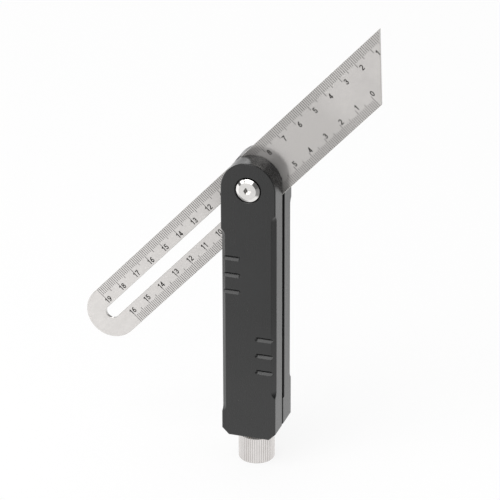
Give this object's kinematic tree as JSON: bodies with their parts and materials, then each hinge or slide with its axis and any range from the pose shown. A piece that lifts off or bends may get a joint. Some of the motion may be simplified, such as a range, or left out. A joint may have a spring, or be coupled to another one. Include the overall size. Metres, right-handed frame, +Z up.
{
  "type": "sliding bevel set square",
  "caption": "Sliding bevel set square: a slotted rule blade turns and slides between the two cheeks of a metal stock and is locked by a knurled knob at the stock's tail.",
  "frame": {"origin": "centre of the knob's flat end, on which the tool stands upright", "axes": "+Z up along the stock, +X across the stock towards the side on which the blade's tip stands, -Y out of the front cheek"},
  "size_m": [0.1353, 0.0242, 0.2115],
  "materials": {
    "black_anodised": "fine matt black anodised aluminium",
    "blade_steel": "satin stainless steel with dark etched millimetre scales",
    "bright_chrome": "bright chrome plate",
    "knob_nickel": "nickel plate over straight knurling",
    "plain_steel": "turned steel",
    "black_steel": "black oxide steel",
    "brass": "turned brass",
    "nylon": "black nylon"
  },
  "bodies": {
    "stock": {"front_cheek": "black_anodised", "rear_cheek": "black_anodised", "pivot_screw": "bright_chrome", "pivot_nut": "bright_chrome", "disc_spring": "plain_steel", "captive_nut": "brass", "tie_screws": "black_steel", "dowel_pins": "plain_steel"},
    "blade_guide": {"guide_bush": "brass", "front_friction_washer": "nylon", "rear_friction_washer": "nylon"},
    "blade": {"blade": "blade_steel"},
    "wedge": {"wedge_collar": "plain_steel"},
    "knob": {"knurled_knob": "knob_nickel", "lock_screw": "plain_steel", "thrust_washer": "brass", "retaining_ring": "plain_steel"},
    "front_pin": {"front_thrust_pin": "plain_steel"},
    "rear_pin": {"rear_thrust_pin": "plain_steel"}
  },
  "joints": [
    {"name": "blade_pivot", "type": "hinge", "parent": "stock", "child": "blade_guide", "pos_m": [0, 0, 0.1348], "axis": [0, -1, 0], "range_deg": [-123, 28]},
    {"name": "blade_slide", "type": "slide", "parent": "blade_guide", "child": "blade", "axis": [0.6802, 0, 0.733], "range_m": [-0.0025, 0.0985]},
    {"name": "knob_turn", "type": "hinge", "parent": "wedge", "child": "knob", "pos_m": [0, 0, 0], "axis": [0, 0, -1], "range_deg": [0, 540]},
    {"name": "wedge_travel", "type": "slide", "parent": "stock", "child": "wedge", "axis": [0, 0, -1], "range_m": [0, 0.0013]},
    {"name": "front_pin_travel", "type": "slide", "parent": "stock", "child": "front_pin", "axis": [0, 1, 0], "range_m": [0, 0.0005]},
    {"name": "rear_pin_travel", "type": "slide", "parent": "stock", "child": "rear_pin", "axis": [0, -1, 0], "range_m": [0, 0.0005]}
  ],
  "couplings": [
    {"joint": "wedge_travel", "follows": "knob_turn", "m_per_rad": 0.00012732},
    {"joint": "front_pin_travel", "follows": "knob_turn", "m_per_rad": 0.000045029},
    {"joint": "rear_pin_travel", "follows": "knob_turn", "m_per_rad": 0.000045029}
  ]
}
